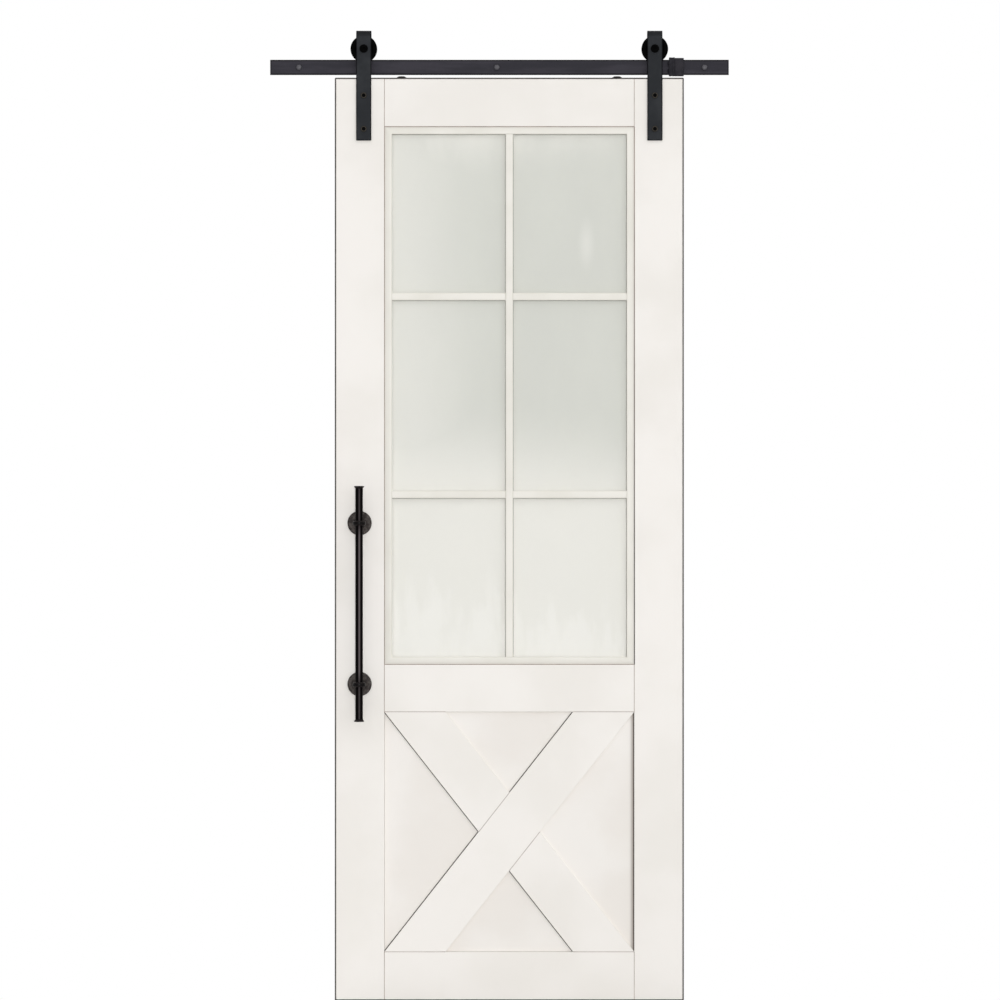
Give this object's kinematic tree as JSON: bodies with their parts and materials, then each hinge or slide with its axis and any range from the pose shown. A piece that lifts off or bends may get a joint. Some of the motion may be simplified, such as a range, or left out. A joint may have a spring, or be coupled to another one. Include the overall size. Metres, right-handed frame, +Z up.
{
  "type": "sliding barn door",
  "caption": "White sliding door with a frosted grid window over a cross-braced panel, hung from a flat black track on strap rollers, with a long bar handle.",
  "frame": {"origin": "on the wall's face, at the middle screw of the track", "axes": "+X along the track to the right as seen from the room, +Y into the wall, +Z up"},
  "size_m": [1.212, 0.164, 2.563],
  "materials": {
    "door_paint": "painted warm white, satin",
    "panel_paint": "painted warm white, satin",
    "trim_paint": "painted warm white, satin",
    "edge_band": "dark grey edge band, matt",
    "dowel_wood": "plain hardwood",
    "frosted_glass": "frosted, etched both sides",
    "glazing_tape": "pale foam tape",
    "track_steel": "black powder coat, fine texture",
    "strap_steel": "black powder coat, fine texture",
    "stop_steel": "black powder coat",
    "black_fastener": "black oxide",
    "strap_fastener": "black oxide, worn rims",
    "axle_black": "deep black, matt",
    "bearing_steel": "ground steel",
    "wheel_nylon": "black nylon",
    "stud_black": "black nylon",
    "black_rubber": "black rubber",
    "handle_bronze": "oil-rubbed dark bronze",
    "rosette_bronze": "oil-rubbed dark bronze, brushed"
  },
  "bodies": {
    "track": {"track_bar": "track_steel", "wall_spacer_left": "track_steel", "wall_spacer_middle": "track_steel", "wall_spacer_right": "track_steel", "track_screws": "black_fastener", "end_stop_body": "stop_steel", "end_stop_bumper": "black_rubber", "end_stop_screws": "black_fastener"},
    "door": {"left_stile": "door_paint", "right_stile": "door_paint", "top_rail": "door_paint", "middle_rail": "door_paint", "bottom_rail": "door_paint", "side_edge_bands": "edge_band", "end_edge_bands": "edge_band", "frame_dowels": "dowel_wood", "lower_panel": "panel_paint", "long_brace_front": "door_paint", "upper_brace_front": "door_paint", "lower_brace_front": "door_paint", "long_brace_back": "door_paint", "upper_brace_back": "door_paint", "lower_brace_back": "door_paint", "glass_pane": "frosted_glass", "glazing_tape_front": "glazing_tape", "glazing_tape_back": "glazing_tape", "setting_blocks": "black_rubber", "glazing_side_beads_front": "trim_paint", "glazing_end_beads_front": "trim_paint", "glazing_side_beads_back": "trim_paint", "glazing_end_beads_back": "trim_paint", "glazing_upright_front": "trim_paint", "glazing_cross_bars_front": "trim_paint", "glazing_upright_back": "trim_paint", "glazing_cross_bars_back": "trim_paint", "left_strap": "strap_steel", "right_strap": "strap_steel", "left_axle_bolt": "axle_black", "right_axle_bolt": "axle_black", "axle_nuts": "black_fastener", "axle_bushes": "black_fastener", "bearing_inner_rings": "bearing_steel", "hanger_bolts": "strap_fastener", "hanger_nuts": "strap_fastener", "anti_jump_stud_left": "stud_black", "anti_jump_stud_right": "stud_black", "anti_jump_screws": "black_fastener", "handle_bar": "handle_bronze", "handle_caps": "handle_bronze", "upper_handle_post": "handle_bronze", "lower_handle_post": "handle_bronze", "upper_rosette": "rosette_bronze", "lower_rosette": "rosette_bronze", "handle_screws": "black_fastener"},
    "left_roller": {"left_wheel": "wheel_nylon", "left_bearing_outer": "bearing_steel", "left_bearing_cage": "bearing_steel"},
    "right_roller": {"right_wheel": "wheel_nylon", "right_bearing_outer": "bearing_steel", "right_bearing_cage": "bearing_steel"}
  },
  "joints": [
    {"name": "door_slide", "type": "slide", "parent": "track", "child": "door", "axis": [1, 0, 0], "range_m": [-0.21, 0.0095]},
    {"name": "left_roller_spin", "type": "hinge", "parent": "door", "child": "left_roller", "pos_m": [-0.3515, -0.035, 0.0485], "axis": [0, 1, 0], "continuous": true},
    {"name": "right_roller_spin", "type": "hinge", "parent": "door", "child": "right_roller", "pos_m": [0.4175, -0.035, 0.0485], "axis": [0, 1, 0], "continuous": true}
  ],
  "couplings": [
    {"joint": "left_roller_spin", "follows": "door_slide", "rad_per_m": 35.461},
    {"joint": "right_roller_spin", "follows": "door_slide", "rad_per_m": 35.461}
  ]
}
